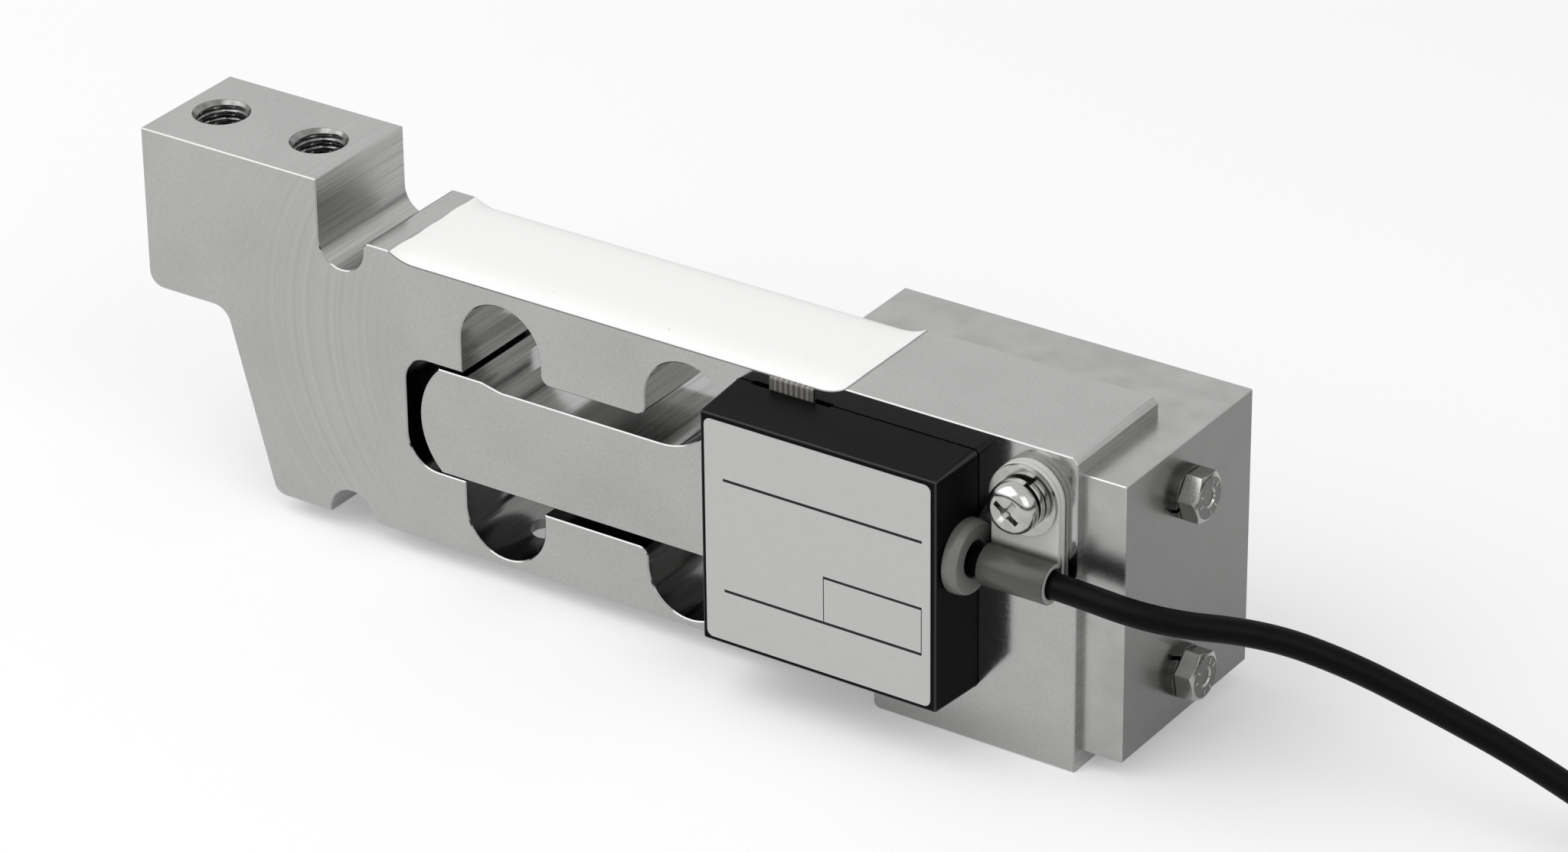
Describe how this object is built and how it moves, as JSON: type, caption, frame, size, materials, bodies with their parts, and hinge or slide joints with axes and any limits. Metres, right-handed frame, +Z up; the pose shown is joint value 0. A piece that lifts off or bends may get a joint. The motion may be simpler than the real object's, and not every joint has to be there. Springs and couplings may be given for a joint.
{
  "type": "single point load cell",
  "caption": "Machined aluminium load cell beam with flexure window, overload tongue, potted gauges, side junction box, angle end block and clamped signal cable.",
  "frame": {"origin": "middle of the base face under the fixed end, between its two threaded holes", "axes": "+X along the beam from the load end to the fixed end, +Y from the face with the junction box to the back, +Z up, out of the load face"},
  "size_m": [0.3297, 0.0954, 0.0677],
  "materials": {
    "beam_aluminium": "fine milled, bright",
    "block_aluminium": "fine milled, satin",
    "bolt_steel": "plain stainless",
    "spring_steel": "satin",
    "plated_steel": "bright plated",
    "potting_silicone": "soft white, satin",
    "gauge_film": "amber film with etched foil",
    "solder_pad": "tinned copper",
    "flex_film": "film with light traces",
    "box_plastic": "moulded, fine matt",
    "tape_foam": "matt",
    "board_laminate": "green lacquer",
    "connector_plastic": "moulded",
    "resistor_body": "ceramic with tinned ends",
    "label_film": "satin film",
    "nylon_natural": "translucent, satin",
    "cable_jacket": "satin black vinyl",
    "core_insulation": "coloured vinyl with tinned ends"
  },
  "bodies": {
    "root": {"spring_element": "beam_aluminium", "end_block": "block_aluminium", "end_bolts": "bolt_steel", "end_bolt_washers": "spring_steel", "gauge_potting": "potting_silicone", "strain_gauges": "gauge_film", "gauge_terminals": "solder_pad", "gauge_flex_cable": "flex_film", "box_cover": "box_plastic", "box_tape": "tape_foam", "circuit_board": "board_laminate", "board_screws": "bolt_steel", "flex_connector": "connector_plastic", "trim_resistors": "resistor_body", "front_label": "label_film", "cable_bush": "nylon_natural", "cable_clamp": "nylon_natural", "clamp_flat_washer": "plated_steel", "clamp_spring_washer": "plated_steel", "clamp_screw": "plated_steel", "signal_cable": "cable_jacket", "cable_conductors": "core_insulation", "cable_coil": "cable_jacket", "cable_leads": "core_insulation"}
  },
  "joints": []
}
